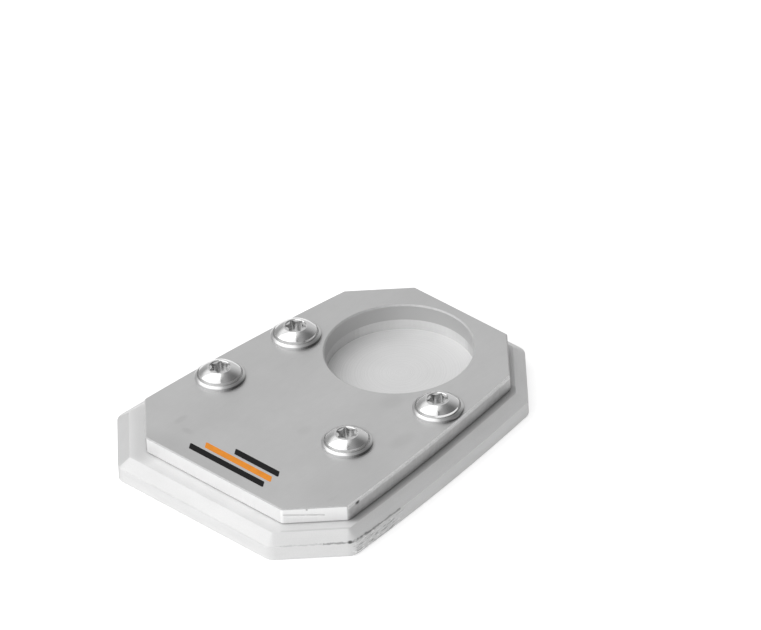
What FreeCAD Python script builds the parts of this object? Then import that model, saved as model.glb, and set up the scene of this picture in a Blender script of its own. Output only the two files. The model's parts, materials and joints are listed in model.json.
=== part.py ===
import FreeCAD, Part

# Foot enlarger for a motorbike's side stand, in millimetres, with +Z up.
# A steel plate with a round opening for the stand's foot lies on a wider aluminium base plate,
# and four flanged button-head screws hold the two together.
# The origin is the centre of the base's underside. +X runs along the plates to their narrow end.

import math
import os

from FreeCAD import Vector

# Outline of the top plate: a tapered octagon with bowed long sides
PLATE_LENGTH = 95.5
WIDE_WIDTH = 74.4
NARROW_WIDTH = 60.6
WIDE_CORNER_LEG = 12.4
NARROW_CORNER_LEG = 13.5
SIDE_BOW = 0.9
PLATE_CORNER_RADIUS = 1.2

PLATE_THICKNESS = 4.8
PLATE_EDGE_BREAK = 0.3

# Rim of the base that stands out all round the top plate: a flat ledge, a bevel and an upright side
LEDGE_WIDTH = 2.9
LEDGE_CORNER_RADIUS = 1.0
BEVEL_WIDTH = 3.2
BEVEL_DROP = 2.2
SIDE_HEIGHT = 4.7
BASE_EDGE_BREAK = 0.5

# The top plate is bolted on a little nearer the base's narrow end and its right side
PLATE_SHIFT_X = 1.5
PLATE_SHIFT_Y = -0.7

# Opening for the stand's foot, which goes on as a pocket in the base
FOOT_RADIUS = 20.0
FOOT_FROM_NARROW_END = 23.4
OPENING_EDGE_BREAK = 0.4
POCKET_DEPTH = 3.0

# Screws
THREAD_RADIUS = 3.0
TIP_CHAMFER = 0.5
TIP_INSET = 0.8
THREAD_GAP = 0.05
CLEARANCE_GAP = 0.3
TAPPED_HOLE_CHAMFER = 0.5

# Screw heads: a flange, a narrow groove and a dome with a six-lobe recess
FLANGE_RADIUS = 6.8
FLANGE_EDGE_HEIGHT = 0.8
FLANGE_EDGE_CHAMFER = 0.2
FLANGE_RISE = 0.3
GROOVE_WIDTH = 0.35
GROOVE_DEPTH = 0.45
DOME_RADIUS = 5.8
DOME_WALL_HEIGHT = 0.6
DOME_WALL_LEAN = 0.15
DOME_TOP_RADIUS = 3.2
HEAD_HEIGHT = 3.4
RECESS_OUTER_DIAMETER = 5.6
RECESS_INNER_DIAMETER = 4.05
RECESS_LOBE_RADIUS = 0.45
RECESS_LOBES = 6
RECESS_DEPTH = 2.0
RECESS_MOUTH_CHAMFER = 0.1

# Places of the screws
HEAD_TO_SIDE = 0.7
HEAD_TO_OPENING = 2.4
FAR_SCREW_SPACING = 26.5
RIGHT_FAR_SCREW_INSET = 10.5
RECESS_TURNS = {"near_left": 8.0, "far_left": 40.0, "near_right": 22.0, "far_right": 51.0}

# Worked out from the sizes above
BASE_HEIGHT = SIDE_HEIGHT + BEVEL_DROP
PLATE_TOP = BASE_HEIGHT + PLATE_THICKNESS
RIM_WIDTH = LEDGE_WIDTH + BEVEL_WIDTH
FOOT_X = PLATE_SHIFT_X + PLATE_LENGTH / 2 - FOOT_FROM_NARROW_END
WIDE_CORNER_X = -PLATE_LENGTH / 2 + WIDE_CORNER_LEG
NARROW_CORNER_X = PLATE_LENGTH / 2 - NARROW_CORNER_LEG

# Lengths closer than this count as equal when edges and faces are picked
TOLERANCE = 1e-6


def bowed_side(start, end):
    """Arc from start to end that bulges away from the plate's long axis."""
    middle = (start + end) * 0.5
    middle.y += math.copysign(SIDE_BOW, middle.y)
    return Part.Arc(start, middle, end).toShape()


def sharp_outline():
    """Outline of the top plate about its own centre, before its corners are rounded."""
    end_x = PLATE_LENGTH / 2
    wide_y = WIDE_WIDTH / 2
    narrow_y = NARROW_WIDTH / 2
    wide_left = Vector(WIDE_CORNER_X, wide_y, 0)
    narrow_left = Vector(NARROW_CORNER_X, narrow_y, 0)
    narrow_end_left = Vector(end_x, narrow_y - NARROW_CORNER_LEG, 0)
    narrow_end_right = Vector(end_x, -(narrow_y - NARROW_CORNER_LEG), 0)
    narrow_right = Vector(NARROW_CORNER_X, -narrow_y, 0)
    wide_right = Vector(WIDE_CORNER_X, -wide_y, 0)
    wide_end_right = Vector(-end_x, -(wide_y - WIDE_CORNER_LEG), 0)
    wide_end_left = Vector(-end_x, wide_y - WIDE_CORNER_LEG, 0)
    return Part.Wire([
        bowed_side(wide_left, narrow_left),
        Part.LineSegment(narrow_left, narrow_end_left).toShape(),
        Part.LineSegment(narrow_end_left, narrow_end_right).toShape(),
        Part.LineSegment(narrow_end_right, narrow_right).toShape(),
        bowed_side(narrow_right, wide_right),
        Part.LineSegment(wide_right, wide_end_right).toShape(),
        Part.LineSegment(wide_end_right, wide_end_left).toShape(),
        Part.LineSegment(wide_end_left, wide_left).toShape(),
    ])


def upright_edges(solid):
    """Edges of the solid that run straight up."""
    edges = []
    for edge in solid.Edges:
        span = edge.BoundBox
        if span.XLength < TOLERANCE and span.YLength < TOLERANCE:
            edges.append(edge)
    return edges


def edges_at(solid, level):
    """Edges of the solid that lie flat at one level."""
    edges = []
    for edge in solid.Edges:
        span = edge.BoundBox
        if abs(span.ZMin - level) < TOLERANCE and abs(span.ZMax - level) < TOLERANCE:
            edges.append(edge)
    return edges


def slab(grown_by, corner_radius, bottom, height):
    """Slab in the plates' outline, grown outward on every side, with rounded corners."""
    outline = sharp_outline()
    if grown_by > 0:
        outline = outline.makeOffset2D(grown_by, join=2)  # corners stay sharp
    sharp = Part.Face(outline).extrude(Vector(0, 0, height))
    rounded = sharp.makeFillet(corner_radius, upright_edges(sharp))
    rounded.translate(Vector(0, 0, bottom))
    return rounded


def rim_of(solid, level):
    """Closed wire round the solid's flat face at one level."""
    for face in solid.Faces:
        span = face.BoundBox
        if abs(span.ZMin - level) < TOLERANCE and abs(span.ZMax - level) < TOLERANCE:
            return face.OuterWire
    raise ValueError("no flat face at this level")


def upright_hole(place, radius, bottom, top):
    """Round plug that cuts an upright hole from bottom to top."""
    return Part.makeCylinder(radius, top - bottom, Vector(place.x, place.y, bottom))


def half_width_at(x):
    """Distance from the top plate's long axis to its bowed side, at x from the plate's centre."""
    along = (x - WIDE_CORNER_X) / (NARROW_CORNER_X - WIDE_CORNER_X)
    straight = (WIDE_WIDTH + (NARROW_WIDTH - WIDE_WIDTH) * along) / 2
    return straight + 4 * SIDE_BOW * along * (1 - along)


def screw_places():
    """Centres of the four screws. The near pair flanks the opening, the far pair is behind it."""
    from_opening = FOOT_RADIUS + HEAD_TO_OPENING + FLANGE_RADIUS
    from_side = FLANGE_RADIUS + HEAD_TO_SIDE
    foot_x = FOOT_X - PLATE_SHIFT_X
    beside = half_width_at(foot_x - FOOT_RADIUS) - from_side - abs(PLATE_SHIFT_Y)
    near_x = foot_x - math.sqrt(max(from_opening ** 2 - beside ** 2, 0))
    far_x = near_x - FAR_SCREW_SPACING
    near_y = half_width_at(near_x) - from_side
    far_y = half_width_at(far_x) - from_side
    own = {
        "near_left": Vector(near_x, near_y, 0),
        "far_left": Vector(far_x, far_y, 0),
        "near_right": Vector(near_x, -near_y, 0),
        "far_right": Vector(far_x, -(far_y - RIGHT_FAR_SCREW_INSET), 0),
    }
    shift = Vector(PLATE_SHIFT_X, PLATE_SHIFT_Y, 0)
    return {name: place + shift for name, place in own.items()}


def tapped_hole(place):
    """Cutter for a tapped hole through the base, opened by a chamfer at the underside."""
    radius = THREAD_RADIUS + THREAD_GAP
    hole = upright_hole(place, radius, 0, BASE_HEIGHT)
    chamfer = Part.makeCone(radius + TAPPED_HOLE_CHAMFER, radius, TAPPED_HOLE_CHAMFER, place)
    return hole.fuse(chamfer)


def base_plate():
    """Wider lower plate: upright side, bevel and ledge round a seat with the foot's pocket."""
    foot_corner = LEDGE_CORNER_RADIUS + BEVEL_WIDTH
    side = slab(RIM_WIDTH, foot_corner, 0, SIDE_HEIGHT)
    seat = slab(LEDGE_WIDTH, LEDGE_CORNER_RADIUS, SIDE_HEIGHT, BEVEL_DROP)
    bevel = Part.makeLoft([rim_of(side, SIDE_HEIGHT), rim_of(seat, BASE_HEIGHT)], True, True)
    side = side.makeChamfer(BASE_EDGE_BREAK, edges_at(side, 0))
    foot = Vector(FOOT_X, 0, 0)
    cutters = [upright_hole(foot, FOOT_RADIUS, BASE_HEIGHT - POCKET_DEPTH, BASE_HEIGHT)]
    cutters += [tapped_hole(place) for place in screw_places().values()]
    return side.fuse(bevel).cut(cutters).removeSplitter()


def top_plate():
    """Upper plate with the round opening and clearance holes for the screws."""
    plate = slab(0, PLATE_CORNER_RADIUS, BASE_HEIGHT, PLATE_THICKNESS)
    outer_edges = edges_at(plate, PLATE_TOP) + edges_at(plate, BASE_HEIGHT)
    plate = plate.makeChamfer(PLATE_EDGE_BREAK, outer_edges)
    plate.translate(Vector(PLATE_SHIFT_X, PLATE_SHIFT_Y, 0))
    foot = Vector(FOOT_X, 0, 0)
    mouth = Vector(FOOT_X, 0, PLATE_TOP - OPENING_EDGE_BREAK)
    cutters = [
        upright_hole(foot, FOOT_RADIUS, BASE_HEIGHT, PLATE_TOP),
        Part.makeCone(FOOT_RADIUS, FOOT_RADIUS + OPENING_EDGE_BREAK, OPENING_EDGE_BREAK, mouth),
    ]
    for place in screw_places().values():
        cutters.append(upright_hole(place, THREAD_RADIUS + CLEARANCE_GAP, BASE_HEIGHT, PLATE_TOP))
    return plate.cut(cutters)


def polar(radius, degrees):
    """Point in the level plane at a radius and an angle."""
    turn = math.radians(degrees)
    return Vector(radius * math.cos(turn), radius * math.sin(turn), 0)


def recess_outline():
    """Six-lobe socket outline: round lobes joined by tangent hollows."""
    pitch = 360 / RECESS_LOBES
    lobe_centre = RECESS_OUTER_DIAMETER / 2 - RECESS_LOBE_RADIUS
    root = RECESS_INNER_DIAMETER / 2
    leaning = lobe_centre * math.cos(math.radians(pitch / 2))
    above = RECESS_LOBE_RADIUS ** 2 - lobe_centre ** 2 - root ** 2 + 2 * root * leaning
    hollow_radius = above / (2 * root - 2 * leaning - 2 * RECESS_LOBE_RADIUS)
    edges = []
    for lobe in range(RECESS_LOBES):
        angle = lobe * pitch
        tip = polar(RECESS_OUTER_DIAMETER / 2, angle)
        centre = polar(lobe_centre, angle)
        joins = []
        for side in (-1, 1):
            hollow_centre = polar(root + hollow_radius, angle + side * pitch / 2)
            reach = (hollow_centre - centre).normalize() * RECESS_LOBE_RADIUS
            joins.append(centre + reach)
        edges.append(Part.Arc(joins[0], tip, joins[1]).toShape())
        hollow = polar(root, angle + pitch / 2)
        turn = FreeCAD.Rotation(Vector(0, 0, 1), pitch)
        edges.append(Part.Arc(joins[1], hollow, turn.multVec(joins[0])).toShape())
    return Part.Wire(edges)


def recess_cutter():
    """Socket of the screw head, with a chamfered mouth and a flat floor."""
    floor = HEAD_HEIGHT - RECESS_DEPTH
    socket = Part.Face(recess_outline()).extrude(Vector(0, 0, RECESS_DEPTH))
    socket.translate(Vector(0, 0, floor))
    narrow = RECESS_OUTER_DIAMETER / 2 - RECESS_MOUTH_CHAMFER
    wide = RECESS_OUTER_DIAMETER / 2 + RECESS_MOUTH_CHAMFER
    deep = 2 * RECESS_MOUTH_CHAMFER
    mouth = Part.makeCone(narrow, wide, deep, Vector(0, 0, HEAD_HEIGHT - deep))
    return socket.fuse(mouth)


def dome_arc(foot, rim):
    """Arc of the dome's profile from foot to rim, about a centre on the screw's axis."""
    centre_z = (foot.x ** 2 + foot.z ** 2 - rim.x ** 2 - rim.z ** 2) / (2 * (foot.z - rim.z))
    centre = Vector(0, 0, centre_z)
    reach = (foot - centre).Length
    middle = centre + ((foot - centre) + (rim - centre)).normalize() * reach
    return Part.Arc(foot, middle, rim).toShape()


def screw_profile():
    """Half section of the screw, with the underside of its head at z = 0."""
    reach = PLATE_TOP - TIP_INSET
    flange_top = FLANGE_EDGE_HEIGHT + FLANGE_EDGE_CHAMFER + FLANGE_RISE
    dome_foot = Vector(DOME_RADIUS - DOME_WALL_LEAN, 0, flange_top + DOME_WALL_HEIGHT)
    dome_rim = Vector(DOME_TOP_RADIUS, 0, HEAD_HEIGHT)
    head_top = Vector(0, 0, HEAD_HEIGHT)
    outline = [
        head_top,
        Vector(0, 0, -reach),
        Vector(THREAD_RADIUS - TIP_CHAMFER, 0, -reach),
        Vector(THREAD_RADIUS, 0, -reach + TIP_CHAMFER),
        Vector(THREAD_RADIUS, 0, 0),
        Vector(FLANGE_RADIUS, 0, 0),
        Vector(FLANGE_RADIUS, 0, FLANGE_EDGE_HEIGHT),
        Vector(FLANGE_RADIUS - FLANGE_EDGE_CHAMFER, 0, FLANGE_EDGE_HEIGHT + FLANGE_EDGE_CHAMFER),
        Vector(DOME_RADIUS + GROOVE_WIDTH, 0, flange_top),
        Vector(DOME_RADIUS + GROOVE_WIDTH / 2, 0, flange_top - GROOVE_DEPTH),
        Vector(DOME_RADIUS, 0, flange_top),
        dome_foot,
    ]
    return Part.Wire([
        *Part.makePolygon(outline).Edges,
        dome_arc(dome_foot, dome_rim),
        Part.LineSegment(dome_rim, head_top).toShape(),
    ])


def screw(place, recess_turn):
    """Flanged button-head screw, standing on the top plate and reaching almost through the base."""
    body = Part.Face(screw_profile()).revolve(Vector(0, 0, 0), Vector(0, 0, 1), 360)
    body = body.cut(recess_cutter())
    body.rotate(Vector(0, 0, 0), Vector(0, 0, 1), recess_turn)
    body.translate(Vector(place.x, place.y, PLATE_TOP))
    return body


def plate_screws():
    """The four equal screws, as separate solids."""
    return [screw(place, RECESS_TURNS[name]) for name, place in screw_places().items()]


def main():
    """Write one STEP file for each sub-part."""
    os.makedirs("parts", exist_ok=True)
    base_plate().exportStep("parts/base_plate.step")
    top_plate().exportStep("parts/top_plate.step")
    Part.makeCompound(plate_screws()).exportStep("parts/plate_screws.step")


main()
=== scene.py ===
# Looks of the kickstand foot enlarger.
# Lengths are in millimetres in the model's own frame, and metres() turns them into Blender's unit.

import json
import math

import bmesh
import bpy
from mathutils import Matrix, Vector


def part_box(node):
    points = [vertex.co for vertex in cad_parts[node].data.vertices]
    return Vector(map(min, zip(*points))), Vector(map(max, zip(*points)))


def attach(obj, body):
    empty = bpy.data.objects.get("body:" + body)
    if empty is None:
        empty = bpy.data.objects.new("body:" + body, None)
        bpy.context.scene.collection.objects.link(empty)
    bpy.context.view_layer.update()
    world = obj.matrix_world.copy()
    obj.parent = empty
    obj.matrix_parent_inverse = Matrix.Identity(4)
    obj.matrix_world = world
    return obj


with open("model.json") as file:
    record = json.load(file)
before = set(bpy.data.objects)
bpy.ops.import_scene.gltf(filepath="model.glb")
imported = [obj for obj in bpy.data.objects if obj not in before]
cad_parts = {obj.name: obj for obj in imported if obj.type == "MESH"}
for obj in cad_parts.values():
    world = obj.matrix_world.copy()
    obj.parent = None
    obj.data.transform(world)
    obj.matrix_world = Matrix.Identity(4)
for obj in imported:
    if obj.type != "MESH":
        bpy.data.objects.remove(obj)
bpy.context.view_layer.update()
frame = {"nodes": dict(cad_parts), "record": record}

MM = 0.001

# Heights read from the frame, and the foot of the base's bevel, which drops from its ledge
FACE_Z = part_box("top_plate")[1].z / MM
LEDGE_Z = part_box("base_plate")[1].z / MM
SCREW_TOP_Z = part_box("plate_screws")[1].z / MM
BEVEL_DROP = 2.2
BEVEL_Z = LEDGE_Z - BEVEL_DROP

# Round opening over the pocket, as the record's mount gives it
OPENING_MOUNT = frame["record"]["mounts"][0]
OPENING_PLACE = tuple(length / MM for length in OPENING_MOUNT["pos_m"])
OPENING_RADIUS = OPENING_MOUNT["dims"]["r_mm"]
POCKET_FLOOR_Z = OPENING_PLACE[2] - OPENING_MOUNT["dims"]["length_mm"] / 2

# Level directions that the sides look to
FRONTWARD = (-0.92, -0.39, 0.0)
RIGHTWARD = (0.0, -1.0, 0.0)
BACK_RIGHTWARD = (0.38, -0.925, 0.0)
LEFTWARD = (-0.69, 0.72, 0.0)

# Cosines between a surface's direction and a side's, where it starts to count and where it counts fully
SIDE_COSINES = (0.85, 0.95)
BACK_RIGHT_COSINES = (0.77, 0.87)

# Where each kind of surface starts or ends, by the height of its unit normal
UPRIGHT_UNDER = (0.1, 0.3)
PLATE_FACE_OVER = 0.90
PLATE_EDGE_OVER = 0.45
PLATE_LOWER_EDGE_UNDER = (-0.60, -0.50)
PLATE_FACING_SOFT = 0.05
LEDGE_OVER = 0.95
BEVEL_OVER = 0.70
BASE_FACING_SOFT = 0.02

# Middle of a noise's values, and how far on either side of it a tone or a roughness follows the noise
NOISE_MIDDLE = 0.5
TONE_REACH = 0.25
ROUGH_REACH = 0.30

# Marks are full in this share of a spot's radius, or of a stroke's width, from their middle
SPOT_FULL = 0.35
STROKE_FULL = 0.15

# Metal of the top plate. Its edge breaks scatter light more evenly
PLATE_GREY = (0.60, 0.60, 0.60)
PLATE_METALLIC = 0.85
PLATE_EDGE_METALLIC = 0.25
PLATE_ROUGH = 0.47
PLATE_CUT_ROUGH = 0.46

# How far noises take the roughness of both plates, and of the top plate's cut sides, up and down
ROUGH_SWING = 0.04
CUT_ROUGH_SWING = 0.06

# Noises of the top plate: the size of their grain, in one number or one for each axis, and their character
PLATE_NOISES = {
    "grain": {"size": (9.0, 0.16, 0.16), "detail": 3.0},
    "cloud": {"size": (22.0, 15.0, 15.0), "shift": 40.0},
    "smudge": {"size": (3.0, 2.2, 2.2), "detail": 4.0, "roughness": 0.6, "shift": 90.0},
    "cut": {"size": (0.22, 0.22, 5.0)},
    "rough_cut": {"size": (1.6, 1.6, 1.0), "detail": 3.0, "shift": 12.0},
    "worn": {"size": 0.9, "detail": 3.0, "shift": 33.0},
}

# How much each noise varies the tone of the top plate's face, cut sides and edge breaks
FACE_UNEVEN = {"grain": 0.03, "cloud": 0.035, "smudge": 0.015}
CUT_UNEVEN = {"cut": 0.02}
RIGHT_CUT_UNEVEN = {"cut": 0.08, "rough_cut": 0.08}
EDGE_UNEVEN = {"worn": 0.08}

# Depth of the top plate's bumps. The cut is shallower on most sides, and deeper on the right one
PLATE_DEPTHS = {"grain": 0.003, "cut": 0.012, "worn": 0.05, "marks": 0.25}
CUT_SHALLOWER = 0.4
RIGHT_CUT_DEEPER = 1.5

# Tones of the top plate's cut sides and edge breaks, compared with its face. They hold painted light and
# shade by the side each looks to: front sides painted lighter, right and left sides painted darker, a
# painted highlight on the right upper edge break, and painted shade in the lower edge breaks on the right
# and, less, the front
SIDE_TONES_WITH_PAINTED_LIGHT = {"rest": 0.92, "front": 1.62, "right": 0.82, "left": 0.78}
EDGE_TONES_WITH_PAINTED_HIGHLIGHT = {"rest": 0.92, "front": 0.92, "right": 1.60, "left": 0.92}
LOWER_EDGE_TONES_WITH_PAINTED_SHADE = {"rest": 1.00, "front": 0.92, "right": 0.12, "left": 1.00}

# The right side has a painted highlight in a rim below the face. The opening's wall keeps the tone of the
# rest
RIM_PAINTED_HIGHLIGHT = 1.30
RIM_HEIGHT = 1.1
RIM_SOFT = 0.3
OPENING_MARGIN = 1.0

# Marks on the top plate: faint smudges on its face and wide patches of painted shade at its left end and
# front right, two nicks and a saw line on its front corner
FACE_PATCH_DEPTH = 1.0
FACE_PATCH_NOISE = (0.2, 0.6)
FACE_PATCH_DARK = (0.044, 0.11)
FACE_SMUDGES_AND_SHADE = (
    {"centre": (-34.5, 22.5, FACE_Z), "radii": (3.2, 1.4, FACE_PATCH_DEPTH), "dark": 0.7},
    {"centre": (-37.0, 17.5, FACE_Z), "radii": (1.3, 2.6, FACE_PATCH_DEPTH), "dark": 0.7},
    {"centre": (-17.0, -6.0, FACE_Z), "radii": (3.0, 2.2, FACE_PATCH_DEPTH), "dark": 0.4},
    {"centre": (7.0, -15.0, FACE_Z), "radii": (5.0, 3.5, FACE_PATCH_DEPTH), "dark": 0.5},
    {"centre": (-4.0, -29.0, FACE_Z), "radii": (6.0, 3.0, FACE_PATCH_DEPTH), "dark": 0.5},
    {"centre": (-34.5, -32.5, FACE_Z), "radii": (3.5, 1.2, FACE_PATCH_DEPTH), "dark": 0.7},
    # Painted shade: the face darker at its left end and at its front right
    {"centre": (-47.0, 12.0, FACE_Z), "radii": (8.0, 26.0, FACE_PATCH_DEPTH), "dark": 0.6},
    {"centre": (-27.0, -32.0, FACE_Z), "radii": (20.0, 12.0, FACE_PATCH_DEPTH), "dark": 0.5},
)
PLATE_NICKS = (
    {"centre": (-30.3, -37.5, FACE_Z - 1.0), "radii": (1.1, 0.9, 0.6), "dark": 0.80},
    {"centre": (-41.6, -30.2, FACE_Z - 0.6), "radii": (0.4, 0.4, 0.35), "dark": 0.40},
)
SAW_LINE = {"from": (-45.8, -25.9, FACE_Z - 2.0), "to": (-38.5, -33.3, FACE_Z - 2.55), "width": 0.9}
SAW_LINE_NOISE = (0.25, 0.55)
SAW_LINE_DARK = (0.08, 0.22)

# Metal of the base
BASE_SILVER = (0.79, 0.79, 0.79)
BASE_METALLIC = 0.75
BASE_ROUGH = 0.72

# Noises of the base, as those of the top plate, and the width of the rings in the pocket
BASE_NOISES = {
    "grain": {"size": 0.3, "detail": 3.0},
    "cloud": {"size": (14.0, 14.0, 3.0), "shift": 20.0},
    "lines": {"size": (30.0, 30.0, 0.14)},
    "ragged": {"size": (1.3, 1.3, 0.6), "detail": 3.0, "shift": 61.0},
    "streaks": {"size": (2.8, 2.8, 0.42), "roughness": 0.6, "shift": 27.0},
    "flecks": {"size": (1.7, 1.7, 0.40), "detail": 1.0, "shift": 75.0},
}
BASE_UNEVEN = {"grain": 0.02, "cloud": 0.03, "lines": 0.02}
BASE_DEPTHS = {"lines": 0.006, "rings": 0.01, "streaks": 0.02, "dents": 0.12, "grain": 0.003}
POCKET_RING_WIDTH = 0.22
POCKET_RING_UNEVEN = 0.05
POCKET_SOFT = 0.5
POCKET_UNDER_FLOOR = 1.0

# Tones of the base's ledge, bevels and sides. They hold painted light and shade: the ledge, the base's top,
# painted lighter all round, the front bevel and sides painted lighter, and the left bevel and sides and the
# right sides painted darker
LEDGE_PAINTED_LIGHT = 1.07
BEVEL_TONES_WITH_PAINTED_LIGHT = {"rest": 1.00, "front": 1.01, "right": 1.00, "left": 0.84}
BASE_SIDE_TONES_WITH_PAINTED_LIGHT = {"rest": 1.00, "front": 1.04, "right": 0.90, "left": 0.84}

# Painted shade along the ledge, at the foot of the top plate's walls
LEDGE_PAINTED_SHADE = (
    {"from": (-31.2, -37.5, LEDGE_Z), "to": (0.9, -35.1, LEDGE_Z), "width": 7.4, "dark": 0.40},
    {"from": (0.9, -35.1, LEDGE_Z), "to": (35.7, -30.7, LEDGE_Z), "width": 7.4, "dark": 0.40},
    {"from": (35.7, -30.7, LEDGE_Z), "to": (49.0, -17.5, LEDGE_Z), "width": 7.0, "dark": 0.22},
    {"from": (-46.2, 24.0, LEDGE_Z), "to": (-33.9, 36.4, LEDGE_Z), "width": 12.0, "dark": 0.14},
    {"from": (-48.6, -27.9, LEDGE_Z), "to": (-36.2, -40.2, LEDGE_Z), "width": 1.6, "dark": 0.12},
)

# Dark ragged lines at the bevel's foot, and a bruised corner
LINE_WIDTH = 1.1
LINE_RAGGED = 0.28 * LINE_WIDTH
LINE_NOISE = (0.35, 0.70)
BEVEL_FOOT_LINES = (
    {"from": (-53.85, 15.0, BEVEL_Z), "to": (-53.85, -26.0, BEVEL_Z), "width": LINE_WIDTH, "dark": 0.06},
    {"from": (-51.5, -29.7, BEVEL_Z), "to": (-44.0, -37.2, BEVEL_Z), "width": LINE_WIDTH, "dark": 0.16},
    {"from": (-43.5, -37.7, BEVEL_Z), "to": (-39.0, -42.2, BEVEL_Z), "width": LINE_WIDTH, "dark": 0.45},
    {"from": (-38.0, -42.9, BEVEL_Z), "to": (-30.0, -43.05, BEVEL_Z), "width": LINE_WIDTH, "dark": 0.55},
    {"from": (-30.0, -43.05, BEVEL_Z), "to": (-19.5, -42.4, BEVEL_Z), "width": LINE_WIDTH, "dark": 0.40},
)
CORNER_BRUISE = {"centre": (-38.6, -42.6, BEVEL_Z + 0.05), "radii": (1.0, 0.9, 0.6)}
BRUISE_DARK = 0.8

# Scuffed stretch of the base's right side: dark scratches and bright glints
SCUFFED_FROM_TO = (-38.5, -18.5)
SCUFFED_SOFT = 2.0
SCUFFED_FACING_Y = (-0.95, -0.85)
SCRATCHES_OVER = 0.60
SCRATCHES_DARK = 0.36
GLINTS_OVER = 0.62
GLINTS_BRIGHTER = 1.25
SCUFF_NOISE_SOFT = 0.04

# Painted shade at the lower edge of the base's right side, made ragged by noise
LOW_SHADE_Z = (0.25, 0.65)
LOW_SHADE_FACING_Y = (-0.7, -0.5)
LOW_SHADE_NOISE = (0.35, 0.6)
LOW_SHADE_DARK = (0.18, 0.45)

# Screws: polished domes, and duller flanges and sockets. Painted shade darkens the sockets and the flange
# walls that look to one side
SCREW_BRIGHT = (0.74, 0.74, 0.74)
SCREW_ROUGH = 0.15
SCREW_ROUGH_SWING = 0.03
SCREW_GRAIN = {"size": 0.5, "detail": 3.0}
SCREW_UNEVEN = 0.02
SCREW_RING_WIDTH = 0.12
SCREW_RING_DEPTH = 0.0015
DULL_ROUGH = 0.28

SOCKET_RADIUS = 2.95
SOCKET_SOFT = 0.15
SOCKET_BELOW_TOP = (0.5, 0.1)
SOCKET_PAINTED_SHADE = 0.80

FLANGE_RADIUS = 6.8
FLANGE_MARGIN = 1.0
FLANGE_FROM = 6.05
FLANGE_SOFT = 0.1
FLANGE_DARKER = 0.93
# Painted shade on the flange walls that look towards one side
FLANGE_WALL_PAINTED_SHADE = 0.28
FLANGE_WALL_TOWARDS = (0.26, -0.966, 0.0)
FLANGE_WALL_COSINES = (0.50, 0.90)

# Stripes printed near the wide end
INK_THICKNESS = 0.05
INK_ABOVE = 0.03
STRIPE_WIDTH = 2.0
STRIPE_SLANT = 1.4
STRIPE_CORNER = 0.25
STRIPE_CORNER_STEPS = 5
STRIPES = (
    {"name": "print_black_outer", "x": -41.3, "from": 12.6, "to": -14.4, "ink": "black"},
    {"name": "print_orange", "x": -38.4, "from": 9.6, "to": -14.4, "ink": "orange"},
    {"name": "print_black_inner", "x": -35.5, "from": 1.6, "to": -14.4, "ink": "black"},
)
INKS = {"black": (0.006, 0.006, 0.0065), "orange": (0.84, 0.29, 0.03)}
INK_NOISES = {"fleck": {"size": 0.35, "detail": 3.0}, "film": {"size": 2.5}}
INK_UNEVEN = {"film": 0.06, "fleck": 0.05}
INK_ROUGH = 0.43
INK_ROUGH_SWING = 0.07
INK_GLOSS = 0.12
INK_DEPTH = 0.004

# Camera, fitted to the photograph's edges
CAMERA_AZIMUTH = math.radians(44.918)
CAMERA_ELEVATION = math.radians(35.442)
CAMERA_ROLL = math.radians(3.124)
CAMERA_DISTANCE = 2643.4
CAMERA_AIM = Vector((26.4, 6.9, 19.2))
CAMERA_LENS = 470.1
SENSOR_WIDTH = 36.0
NEAREST_SEEN = 100.0
FARTHEST_SEEN = 20000.0

# Colour of what glows
WHITE = (1, 1, 1, 1)

# Studio floor and lamp
FLOOR_SIZE = 6000.0
FLOOR_ALBEDO = 0.52
FLOOR_GLOW = 0.68
FLOOR_ROUGH = 0.9
KEY_PLACE = Vector((-560.0, 180.0, 685.0))
KEY_SIZE = 1250.0
KEY_POWER = 6.0

# Soft surroundings: an even level, and wide patches of more or less light round a direction.
# A patch is full within one angle from its direction, and ends at another, in degrees
WORLD_LEVEL = 0.41
WORLD_PATCHES = (
    {"towards": (-0.90, -0.15, 0.12), "full": 28, "none": 70, "light": 0.64},
    {"towards": (-0.62, 0.20, 0.76), "full": 24, "none": 44, "light": -0.60},
    {"towards": (0.66, -0.50, 0.45), "full": 16, "none": 54, "light": -0.23},
    {"towards": (-0.12, 0.45, 0.88), "full": 18, "none": 42, "light": 0.75},
    {"towards": (0.86, 0.45, 0.25), "full": 12, "none": 55, "light": 0.33},
)


def metres(place):
    """A place in millimetres as a vector in metres."""
    return Vector(place) * MM


def feed(tree, socket, value):
    """Joins a socket to another one, or gives it a value."""
    if isinstance(value, bpy.types.NodeSocket):
        tree.links.new(value, socket)
    else:
        socket.default_value = value


def add_node(tree, kind, *inputs, **settings):
    """New node with its first inputs set to values or joined to sockets."""
    node = tree.nodes.new(kind)
    for name, value in settings.items():
        setattr(node, name, value)
    for socket, value in zip(node.inputs, inputs):
        feed(tree, socket, value)
    return node


def add_object(name, data):
    """New object in the scene."""
    thing = bpy.data.objects.new(name, data)
    bpy.context.scene.collection.objects.link(thing)
    return thing


def add_mesh_object(name, mesh):
    """New object in the scene from a finished bmesh, which is freed."""
    data = bpy.data.meshes.new(name)
    mesh.to_mesh(data)
    mesh.free()
    return add_object(name, data)


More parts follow.
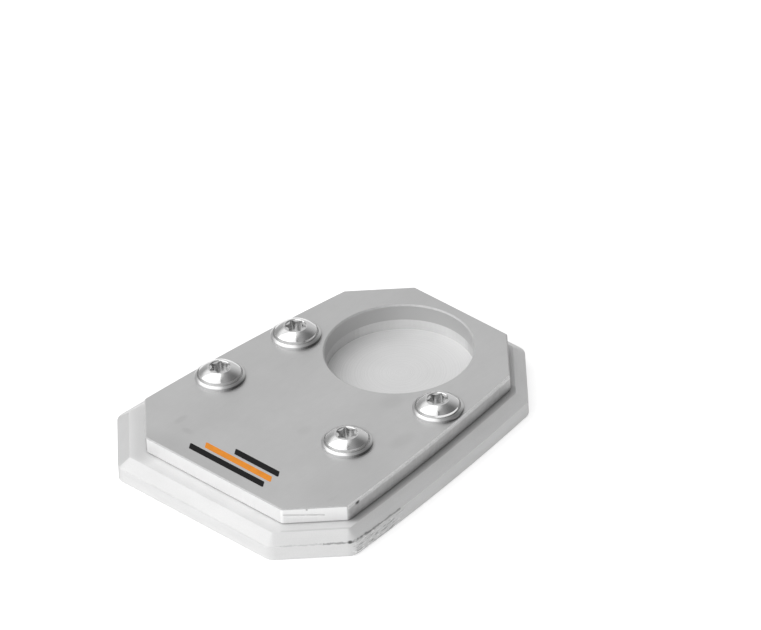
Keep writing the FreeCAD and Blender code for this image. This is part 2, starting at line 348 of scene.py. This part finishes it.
class Paint:
    """Node tree of one material. Its coordinates are millimetres in the model's frame."""

    def __init__(self, name, color, metallic, roughness, gloss=None):
        self.color = color
        self.material = bpy.data.materials.new(name)
        self.material.use_nodes = True
        self.material.diffuse_color = (*color, 1)
        self.tree = self.material.node_tree
        self.shader = self.tree.nodes["Principled BSDF"]
        self.fill(self.shader, {"Base Color": (*color, 1), "Metallic": metallic, "Roughness": roughness})
        if gloss is not None:
            self.fill(self.shader, {"Specular IOR Level": gloss})
        self.place = self.scaled(self.add("ShaderNodeTexCoord").outputs["Object"], 1 / MM)
        self.x, _, self.z = self.add("ShaderNodeSeparateXYZ", self.place).outputs
        facing = self.add("ShaderNodeNewGeometry").outputs["True Normal"]
        _, self.facing_y, self.facing_z = self.add("ShaderNodeSeparateXYZ", facing).outputs
        level = self.scaled(facing, (1.0, 1.0, 0.0))
        self.turned = self.add("ShaderNodeVectorMath", level, operation="NORMALIZE").outputs[0]

    def add(self, kind, *inputs, **settings):
        """New node of this tree."""
        return add_node(self.tree, kind, *inputs, **settings)

    def fill(self, node, values):
        """Sets or joins some of a node's inputs by their names."""
        for name, value in values.items():
            feed(self.tree, node.inputs[name], value)

    def calc(self, operation, *inputs):
        """Result of one step of arithmetic."""
        return self.add("ShaderNodeMath", *inputs, operation=operation).outputs[0]

    def product(self, *factors):
        """All factors multiplied."""
        result = factors[0]
        for factor in factors[1:]:
            result = self.calc("MULTIPLY", result, factor)
        return result

    def most(self, *values):
        """The largest of the values."""
        result = values[0]
        for value in values[1:]:
            result = self.calc("MAXIMUM", result, value)
        return result

    def remainder(self, share):
        """What is left of 1 without a share."""
        return self.calc("SUBTRACT", 1.0, share)

    def mixed(self, below, above, share):
        """Number or socket below, covered by the one above where the share is 1."""
        node = self.add("ShaderNodeMix", data_type="FLOAT")
        self.fill(node, {"Factor": share, "A": below, "B": above})
        return node.outputs["Result"]

    def only(self, factor, share):
        """Factor where the share is 1, and 1 where the share is 0."""
        return self.mixed(1.0, factor, share)

    def mapped(self, value, low, high, to_low=0.0, to_high=1.0, kind="SMOOTHSTEP"):
        """Value taken from one range to another, and held at its ends."""
        node = self.add("ShaderNodeMapRange", value, low, high, to_low, to_high, interpolation_type=kind)
        return node.outputs[0]

    def under(self, value, low, high):
        """1 where the value is under a low one, fading to 0 at a high one."""
        return self.mapped(value, low, high, 1.0, 0.0)

    def above(self, value, edge, soft):
        """1 where the value is over an edge, fading to 0 below it."""
        return self.mapped(value, edge - soft, edge + soft)

    def between(self, value, low, high, soft):
        """1 between two edges, fading to 0 outside them."""
        return self.product(self.above(value, low, soft), self.under(value, high - soft, high + soft))

    def vector_step(self, operation, *inputs):
        """Node for one step of arithmetic on vectors."""
        return self.add("ShaderNodeVectorMath", *inputs, operation=operation)

    def scaled(self, vector, factor):
        """Vector times one number, or times a number for each axis."""
        if not isinstance(factor, tuple):
            factor = (factor,) * 3
        return self.vector_step("MULTIPLY", vector, factor).outputs[0]

    def stretched(self, vector, socket):
        """Vector or colour times one socket."""
        node = self.vector_step("SCALE", vector)
        self.fill(node, {"Scale": socket})
        return node.outputs[0]

    def length(self, vector):
        """Length of a vector."""
        return self.vector_step("LENGTH", vector).outputs["Value"]

    def along(self, vector, direction):
        """Part of a vector along a direction, times the direction's length."""
        return self.vector_step("DOT_PRODUCT", vector, direction).outputs["Value"]

    def offset_from(self, place):
        """Vector from a place to the point that is painted."""
        return self.vector_step("SUBTRACT", self.place, place).outputs[0]

    def reach(self, places):
        """Level distance to the nearest of some places."""
        nearest = None
        for place in places:
            length = self.length(self.scaled(self.offset_from(place), (1.0, 1.0, 0.0)))
            nearest = length if nearest is None else self.calc("MINIMUM", nearest, length)
        return nearest

    def upright(self):
        """1 on upright surfaces."""
        return self.under(self.calc("ABSOLUTE", self.facing_z), *UPRIGHT_UNDER)

    def turned_to(self, direction, cosines=SIDE_COSINES):
        """1 where the level direction of the surface is near a given one, by the cosine between them."""
        return self.mapped(self.along(self.turned, direction), *cosines)

    def by_side(self, tones, sides):
        """Tone of the rest of an edge, replaced by its own on each of the given sides."""
        tone = tones["rest"]
        for side, share in sides.items():
            tone = self.mixed(tone, tones[side], share)
        return tone

    def spot(self, centre, radii):
        """Round patch with soft sides: 1 at its centre, 0 at its radii."""
        inverse = tuple(1 / radius for radius in radii)
        return self.under(self.length(self.scaled(self.offset_from(centre), inverse)), SPOT_FULL, 1.0)

    def stroke(self, start, end, width, ragged=0.0):
        """Line from start to end: 1 along its middle, 0 at half its width, or nearer by how ragged it is."""
        whole = Vector(end) - Vector(start)
        offset = self.offset_from(start)
        share = self.add("ShaderNodeClamp", self.along(offset, whole / whole.length_squared)).outputs[0]
        gap = self.vector_step("SUBTRACT", offset, self.stretched(whole, share)).outputs[0]
        distance = self.calc("ADD", self.length(gap), ragged)
        return self.under(distance, STROKE_FULL * width, width / 2)

    def spots(self, spots):
        """The darkest of some spots at each point."""
        return self.most(*[
            self.product(self.spot(spot["centre"], spot["radii"]), spot["dark"]) for spot in spots
        ])

    def strokes(self, strokes, ragged=0.0):
        """The darkest of some strokes at each point."""
        return self.most(*[
            self.product(self.stroke(stroke["from"], stroke["to"], stroke["width"], ragged), stroke["dark"])
            for stroke in strokes
        ])

    def noise(self, size, detail=2.0, roughness=0.5, shift=0.0):
        """Noise from 0 to 1 whose grains have the given size, in one number or one for each axis."""
        if not isinstance(size, tuple):
            size = (size,) * 3
        moved = self.vector_step("ADD", self.place, (shift,) * 3).outputs[0]
        grains = self.scaled(moved, tuple(1 / length for length in size))
        node = self.add("ShaderNodeTexNoise")
        self.fill(node, {"Vector": grains, "Scale": 1.0, "Detail": detail, "Roughness": roughness})
        return node.outputs["Fac"]

    def noises(self, characters):
        """Several noises by name."""
        return {name: self.noise(**character) for name, character in characters.items()}

    def rings(self, places, width):
        """Noise from 0 to 1 in fine rings round the nearest of some places."""
        node = self.add("ShaderNodeTexNoise", noise_dimensions="1D")
        self.fill(node, {"W": self.calc("DIVIDE", self.reach(places), width), "Scale": 1.0})
        return node.outputs["Fac"]

    def varied(self, noise, amount):
        """Factor about 1 that follows a noise by plus or minus the amount."""
        low, high = NOISE_MIDDLE - TONE_REACH, NOISE_MIDDLE + TONE_REACH
        return self.mapped(noise, low, high, 1 - amount, 1 + amount, kind="LINEAR")

    def uneven(self, noise, amounts):
        """Factor about 1 that follows each named noise by its amount."""
        return self.product(*[self.varied(noise[name], amount) for name, amount in amounts.items()])

    def swing(self, noise, middle, amount):
        """Number that follows a noise by plus or minus the amount about a middle."""
        low, high = NOISE_MIDDLE - ROUGH_REACH, NOISE_MIDDLE + ROUGH_REACH
        return self.mapped(noise, low, high, middle - amount, middle + amount)

    def bump(self, height, depth, after=None):
        """Normal that follows a height from 0 to 1, on top of another normal where one is given."""
        node = self.add("ShaderNodeBump")
        self.fill(node, {"Height": height, "Distance": depth * MM})
        if after is not None:
            self.fill(node, {"Normal": after})
        return node.outputs["Normal"]

    def finish(self, tone, roughness, normal, metallic=None):
        """Joins the results to the shader. The colour is the material's own times its tone."""
        color = self.stretched(self.color, tone)
        self.fill(self.shader, {"Base Color": color, "Roughness": roughness, "Normal": normal})
        if metallic is not None:
            self.fill(self.shader, {"Metallic": metallic})
        return self.material


def plate_parts(paint):
    """Shares of the top plate's face, upright sides, and upper and lower edge breaks."""
    return {
        "face": paint.above(paint.facing_z, PLATE_FACE_OVER, PLATE_FACING_SOFT),
        "side": paint.upright(),
        "edge": paint.between(paint.facing_z, PLATE_EDGE_OVER, PLATE_FACE_OVER, PLATE_FACING_SOFT),
        "lower_edge": paint.under(paint.facing_z, *PLATE_LOWER_EDGE_UNDER),
    }


def plate_sides(paint):
    """Shares of the top plate that look to the front, right and left, outside its opening."""
    outside = paint.above(paint.reach((OPENING_PLACE,)), OPENING_RADIUS + OPENING_MARGIN, OPENING_MARGIN / 2)
    directions = {"front": FRONTWARD, "right": RIGHTWARD, "left": LEFTWARD}
    return {side: paint.product(paint.turned_to(towards), outside) for side, towards in directions.items()}


def plate_smudges_and_shade(paint, noise, face):
    """How much faint smudges and patches of painted shade darken the top plate's face."""
    thick = paint.mapped(noise["smudge"], *FACE_PATCH_NOISE, *FACE_PATCH_DARK)
    return paint.product(paint.spots(FACE_SMUDGES_AND_SHADE), face, thick)


def plate_marks(paint, noise):
    """How much the nicks and the broken saw line darken the top plate's corner."""
    line = paint.stroke(SAW_LINE["from"], SAW_LINE["to"], SAW_LINE["width"])
    line = paint.product(line, paint.mapped(noise["worn"], *SAW_LINE_NOISE, *SAW_LINE_DARK))
    return paint.most(paint.spots(PLATE_NICKS), line)


def plate_tone(paint, noise, parts, sides):
    """Tone of the top plate without its marks, with painted light and shade on its sides and edge breaks by
    the side they look to, and a painted highlight in the right side's upper rim.
    """
    cut = paint.mixed(paint.uneven(noise, CUT_UNEVEN), paint.uneven(noise, RIGHT_CUT_UNEVEN), sides["right"])
    rim = paint.product(sides["right"], paint.above(paint.z, FACE_Z - RIM_HEIGHT, RIM_SOFT))
    side = paint.product(cut, paint.by_side(SIDE_TONES_WITH_PAINTED_LIGHT, sides), paint.only(RIM_PAINTED_HIGHLIGHT, rim))
    edge = paint.product(paint.uneven(noise, EDGE_UNEVEN), paint.by_side(EDGE_TONES_WITH_PAINTED_HIGHLIGHT, sides))
    tone = paint.mixed(paint.uneven(noise, FACE_UNEVEN), side, parts["side"])
    tone = paint.mixed(tone, edge, parts["edge"])
    return paint.mixed(tone, paint.by_side(LOWER_EDGE_TONES_WITH_PAINTED_SHADE, sides), parts["lower_edge"])


def plate_normal(paint, noise, parts, sides, marks):
    """Bumps of the top plate: grain on its face, cut sides, worn edges and the marks."""
    deep = paint.mixed(CUT_SHALLOWER, RIGHT_CUT_DEEPER, sides["right"])
    normal = paint.bump(paint.product(noise["grain"], parts["face"]), PLATE_DEPTHS["grain"])
    normal = paint.bump(paint.product(noise["cut"], parts["side"], deep), PLATE_DEPTHS["cut"], normal)
    normal = paint.bump(paint.product(noise["worn"], parts["edge"]), PLATE_DEPTHS["worn"], normal)
    return paint.bump(paint.remainder(marks), PLATE_DEPTHS["marks"], normal)


def plate_steel():
    """Top plate: satin face with faint grain, cut sides, bright edge breaks, and its few marks, with painted
    light and shade on its sides and edges and patches of painted shade on its face.
    """
    paint = Paint("plate_steel", PLATE_GREY, PLATE_METALLIC, PLATE_ROUGH)
    noise = paint.noises(PLATE_NOISES)
    parts = plate_parts(paint)
    sides = plate_sides(paint)
    smudges_and_shade = plate_smudges_and_shade(paint, noise, parts["face"])
    marks = plate_marks(paint, noise)
    tone = plate_tone(paint, noise, parts, sides)
    tone = paint.product(tone, paint.remainder(smudges_and_shade), paint.remainder(marks))
    satin = paint.swing(noise["grain"], PLATE_ROUGH, ROUGH_SWING)
    cut = paint.swing(noise["cut"], PLATE_CUT_ROUGH, CUT_ROUGH_SWING)
    rough = paint.mixed(satin, cut, parts["side"])
    metallic = paint.mixed(PLATE_METALLIC, PLATE_EDGE_METALLIC, parts["edge"])
    return paint.finish(tone, rough, plate_normal(paint, noise, parts, sides, marks), metallic)


def base_parts(paint):
    """Shares of the base's ledge, bevel, upright sides, scuffed stretch and pocket."""
    side = paint.upright()
    along = paint.between(paint.x, *SCUFFED_FROM_TO, SCUFFED_SOFT)
    inside = paint.under(paint.reach((OPENING_PLACE,)), OPENING_RADIUS, OPENING_RADIUS + POCKET_SOFT)
    over_floor = paint.above(paint.z, POCKET_FLOOR_Z - POCKET_UNDER_FLOOR, POCKET_UNDER_FLOOR / 2)
    return {
        "ledge": paint.above(paint.facing_z, LEDGE_OVER, BASE_FACING_SOFT),
        "bevel": paint.between(paint.facing_z, BEVEL_OVER, LEDGE_OVER, BASE_FACING_SOFT),
        "side": side,
        "scuffed": paint.product(paint.under(paint.facing_y, *SCUFFED_FACING_Y), side, along),
        "pocket": paint.product(inside, over_floor),
    }


def base_sides(paint):
    """Shares of the base that look to the front, right and left."""
    return {
        "front": paint.turned_to(FRONTWARD),
        "right": paint.turned_to(BACK_RIGHTWARD, BACK_RIGHT_COSINES),
        "left": paint.turned_to(LEFTWARD),
    }


def base_scratches_and_low_shade(paint, noise, scuffed):
    """How much the scratches, and the painted shade at the lower edge of the right side, darken the base."""
    scratches = paint.product(scuffed, paint.above(noise["streaks"], SCRATCHES_OVER, SCUFF_NOISE_SOFT))
    low = paint.product(paint.under(paint.z, *LOW_SHADE_Z), paint.under(paint.facing_y, *LOW_SHADE_FACING_Y))
    # Painted shade at the lower edge of the right side, made ragged by noise
    worn = paint.product(low, paint.mapped(noise["ragged"], *LOW_SHADE_NOISE, *LOW_SHADE_DARK))
    return paint.most(paint.product(scratches, SCRATCHES_DARK), worn)


def base_tone(paint, noise, parts, rings):
    """Tone of the base without its marks, with painted light and shade on its ledge, bevels and sides, and
    painted shade along its ledge.
    """
    sides = base_sides(paint)
    tone = paint.product(
        paint.uneven(noise, BASE_UNEVEN),
        paint.only(paint.varied(rings, POCKET_RING_UNEVEN), parts["pocket"]),
        paint.only(LEDGE_PAINTED_LIGHT, parts["ledge"]),
        paint.only(paint.by_side(BEVEL_TONES_WITH_PAINTED_LIGHT, sides), parts["bevel"]),
        paint.only(paint.by_side(BASE_SIDE_TONES_WITH_PAINTED_LIGHT, sides), parts["side"]),
    )
    return paint.product(tone, paint.remainder(paint.product(paint.strokes(LEDGE_PAINTED_SHADE), parts["ledge"])))


def base_normal(paint, noise, parts, rings, dents):
    """Bumps of the base: tool lines on its sides, the pocket's rings, scuffs, dents and a fine grain."""
    normal = paint.bump(paint.product(noise["lines"], parts["side"]), BASE_DEPTHS["lines"])
    normal = paint.bump(paint.product(rings, parts["pocket"]), BASE_DEPTHS["rings"], normal)
    normal = paint.bump(paint.product(noise["streaks"], parts["scuffed"]), BASE_DEPTHS["streaks"], normal)
    normal = paint.bump(paint.remainder(dents), BASE_DEPTHS["dents"], normal)
    return paint.bump(noise["grain"], BASE_DEPTHS["grain"], normal)


def base_aluminium():
    """Base plate: milled aluminium, with tool lines, a scuffed side, rings in the pocket, and painted light
    and shade.
    """
    paint = Paint("base_aluminium", BASE_SILVER, BASE_METALLIC, BASE_ROUGH)
    noise = paint.noises(BASE_NOISES)
    parts = base_parts(paint)
    rings = paint.rings((OPENING_PLACE,), POCKET_RING_WIDTH)
    lines = paint.strokes(BEVEL_FOOT_LINES, paint.mapped(noise["ragged"], *LINE_NOISE, 0.0, LINE_RAGGED))
    bruise = paint.spot(CORNER_BRUISE["centre"], CORNER_BRUISE["radii"])
    scratches_and_low_shade = base_scratches_and_low_shade(paint, noise, parts["scuffed"])
    marks = paint.most(lines, paint.product(bruise, BRUISE_DARK), scratches_and_low_shade)
    glints = paint.product(parts["scuffed"], paint.above(noise["flecks"], GLINTS_OVER, SCUFF_NOISE_SOFT))
    tone = base_tone(paint, noise, parts, rings)
    tone = paint.product(tone, paint.only(GLINTS_BRIGHTER, glints), paint.remainder(marks))
    rough = paint.swing(noise["lines"], BASE_ROUGH, ROUGH_SWING)
    return paint.finish(tone, rough, base_normal(paint, noise, parts, rings, paint.most(lines, bruise)))


def screw_places():
    """Centres of the screws, from the boxes of their heads in the frame."""
    one_head = 2 * FLANGE_RADIUS + FLANGE_MARGIN
    heads = []
    for vertex in frame["nodes"]["plate_screws"].data.vertices:
        point = vertex.co / MM
        near = [head for head in heads if (head[0] - point).to_2d().length < one_head]
        if near:
            near[0].append(point)
        else:
            heads.append([point])
    places = []
    for head in heads:
        xs = [point.x for point in head]
        ys = [point.y for point in head]
        places.append(((min(xs) + max(xs)) / 2, (min(ys) + max(ys)) / 2, 0.0))
    return places


def screw_steel():
    """Screws: bright polished domes with fine turning rings, duller flanges and sockets, and painted shade
    in the sockets and on one side of the flange walls.
    """
    paint = Paint("screw_steel", SCREW_BRIGHT, 1.0, SCREW_ROUGH)
    places = screw_places()
    reach = paint.reach(places)
    rings = paint.rings(places, SCREW_RING_WIDTH)
    grain = paint.noise(**SCREW_GRAIN)
    below_top = paint.under(paint.z, *(SCREW_TOP_Z - depth for depth in SOCKET_BELOW_TOP))
    socket = paint.product(paint.under(reach, SOCKET_RADIUS - SOCKET_SOFT, SOCKET_RADIUS), below_top)
    flange = paint.above(reach, FLANGE_FROM, FLANGE_SOFT)
    shade_side = paint.turned_to(FLANGE_WALL_TOWARDS, FLANGE_WALL_COSINES)
    shaded_wall = paint.product(flange, paint.upright(), shade_side)
    tone = paint.product(
        paint.varied(grain, SCREW_UNEVEN),
        paint.varied(rings, SCREW_UNEVEN),
        paint.only(SOCKET_PAINTED_SHADE, socket),
        paint.only(FLANGE_DARKER, flange),
        paint.only(FLANGE_WALL_PAINTED_SHADE, shaded_wall),
    )
    polished = paint.swing(grain, SCREW_ROUGH, SCREW_ROUGH_SWING)
    rough = paint.mixed(polished, DULL_ROUGH, paint.most(socket, flange))
    return paint.finish(tone, rough, paint.bump(rings, SCREW_RING_DEPTH))


def ink(name, color):
    """Printed ink: slightly uneven, and thinner in small flecks."""
    paint = Paint(name, color, 0.0, INK_ROUGH, INK_GLOSS)
    noise = paint.noises(INK_NOISES)
    rough = paint.swing(noise["fleck"], INK_ROUGH, INK_ROUGH_SWING)
    return paint.finish(paint.uneven(noise, INK_UNEVEN), rough, paint.bump(noise["fleck"], INK_DEPTH))


def rounded(points, radius, steps):
    """Outline with each corner of a convex polygon turned into a small arc."""
    outline = []
    for i, corner in enumerate(points):
        before = (points[i - 1] - corner).normalized()
        after = (points[(i + 1) % len(points)] - corner).normalized()
        half = before.angle(after) / 2
        centre = corner + (before + after).normalized() * (radius / math.sin(half))
        start = corner + before * (radius / math.tan(half)) - centre
        end = corner + after * (radius / math.tan(half)) - centre
        for step in range(steps + 1):
            share = step / steps
            outline.append(centre + (start * (1 - share) + end * share).normalized() * radius)
    return outline


def printed_stripe(name, x, start, end, material):
    """Thin field of ink on the plate's face, a slanted bar with rounded corners."""
    half = STRIPE_WIDTH / 2
    corners = [
        Vector((x - half, start - STRIPE_SLANT / 2)),
        Vector((x + half, start + STRIPE_SLANT / 2)),
        Vector((x + half, end + STRIPE_SLANT / 2)),
        Vector((x - half, end - STRIPE_SLANT / 2)),
    ]
    mesh = bmesh.new()
    bottom = FACE_Z + INK_ABOVE - INK_THICKNESS
    outline = rounded(corners, STRIPE_CORNER, STRIPE_CORNER_STEPS)
    rim = [mesh.verts.new(metres((point.x, point.y, bottom))) for point in outline]
    grown = bmesh.ops.extrude_face_region(mesh, geom=[mesh.faces.new(rim)])
    lifted = [item for item in grown["geom"] if isinstance(item, bmesh.types.BMVert)]
    bmesh.ops.translate(mesh, verts=lifted, vec=metres((0, 0, INK_THICKNESS)))
    bmesh.ops.recalc_face_normals(mesh, faces=mesh.faces)
    stripe = add_mesh_object(name, mesh)
    stripe.data.materials.append(material)
    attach(stripe, "root")


def dress(node, material):
    """Gives a CAD node its material."""
    slots = frame["nodes"][node].data.materials
    slots.clear()
    slots.append(material)


def make_camera():
    """Camera with the photograph's viewpoint."""
    level = Vector((-math.sin(CAMERA_AZIMUTH), -math.cos(CAMERA_AZIMUTH), 0))
    back = level * math.cos(CAMERA_ELEVATION) + Vector((0, 0, math.sin(CAMERA_ELEVATION)))
    right = (-back).cross(Vector((0, 0, 1))).normalized()
    down = (-back).cross(right)
    across = right * math.cos(CAMERA_ROLL) + down * math.sin(CAMERA_ROLL)
    upward = right * math.sin(CAMERA_ROLL) - down * math.cos(CAMERA_ROLL)
    data = bpy.data.cameras.new("camera")
    data.sensor_width = SENSOR_WIDTH
    data.lens = CAMERA_LENS
    data.clip_start = NEAREST_SEEN * MM
    data.clip_end = FARTHEST_SEEN * MM
    camera = add_object("camera", data)
    turn = Matrix((across, upward, back)).transposed().to_4x4()
    camera.matrix_world = Matrix.Translation(metres(CAMERA_AIM + back * CAMERA_DISTANCE)) @ turn
    bpy.context.scene.camera = camera


def floor_white():
    """Material of the floor, which glows where the camera or a reflection sees it and keeps soft shadows."""
    material = bpy.data.materials.new("floor_white")
    material.use_nodes = True
    tree = material.node_tree
    seen_by = add_node(tree, "ShaderNodeLightPath").outputs
    seen = seen_by["Is Camera Ray"]
    for ray in ("Is Glossy Ray", "Is Transmission Ray"):
        seen = add_node(tree, "ShaderNodeMath", seen, seen_by[ray], operation="MAXIMUM").outputs[0]
    glow = add_node(tree, "ShaderNodeMath", seen, FLOOR_GLOW, operation="MULTIPLY").outputs[0]
    shader = tree.nodes["Principled BSDF"].inputs
    shader["Base Color"].default_value = (FLOOR_ALBEDO,) * 3 + (1,)
    shader["Roughness"].default_value = FLOOR_ROUGH
    shader["Specular IOR Level"].default_value = 0.0
    shader["Emission Color"].default_value = WHITE
    feed(tree, shader["Emission Strength"], glow)
    return material


def make_floor():
    """Pale floor under the part."""
    mesh = bmesh.new()
    bmesh.ops.create_grid(mesh, x_segments=1, y_segments=1, size=FLOOR_SIZE * MM / 2)
    floor = add_mesh_object("floor", mesh)
    floor.data.materials.append(floor_white())


def make_world():
    """Soft surroundings, brighter or darker in wide patches."""
    world = bpy.data.worlds.new("studio")
    bpy.context.scene.world = world
    world.use_nodes = True
    tree = world.node_tree
    direction = add_node(tree, "ShaderNodeTexCoord").outputs["Generated"]
    light = WORLD_LEVEL
    for patch in WORLD_PATCHES:
        towards = Vector(patch["towards"]).normalized()
        near = add_node(tree, "ShaderNodeVectorMath", direction, towards, operation="DOT_PRODUCT")
        limits = [math.cos(math.radians(patch[end])) for end in ("none", "full")]
        added = add_node(tree, "ShaderNodeMapRange", near.outputs["Value"], *limits, 0.0, patch["light"])
        added.interpolation_type = "SMOOTHSTEP"
        light = add_node(tree, "ShaderNodeMath", added.outputs[0], light, operation="ADD").outputs[0]
    background = tree.nodes["Background"].inputs
    background["Color"].default_value = WHITE
    feed(tree, background["Strength"], light)


def make_softbox(name, place, size, power):
    """Square area lamp aimed at the part, with two of its edges in planes that hold the camera's upright."""
    data = bpy.data.lights.new(name, "AREA")
    data.size = size * MM
    data.energy = power
    away = place.normalized()
    camera_right = Vector((math.cos(CAMERA_AZIMUTH), -math.sin(CAMERA_AZIMUTH), 0))
    across = (camera_right - away * camera_right.dot(away)).normalized()
    turn = Matrix((across, away.cross(across), away)).transposed().to_4x4()
    lamp = add_object(name, data)
    lamp.matrix_world = Matrix.Translation(metres(place)) @ turn


def main():
    bpy.context.scene.view_settings.view_transform = "Standard"
    make_camera()
    make_floor()
    make_world()
    make_softbox("key", KEY_PLACE, KEY_SIZE, KEY_POWER)
    dress("top_plate", plate_steel())
    dress("base_plate", base_aluminium())
    dress("plate_screws", screw_steel())
    inks = {name: ink("ink_" + name, color) for name, color in INKS.items()}
    for stripe in STRIPES:
        printed_stripe(stripe["name"], stripe["x"], stripe["from"], stripe["to"], inks[stripe["ink"]])


main()
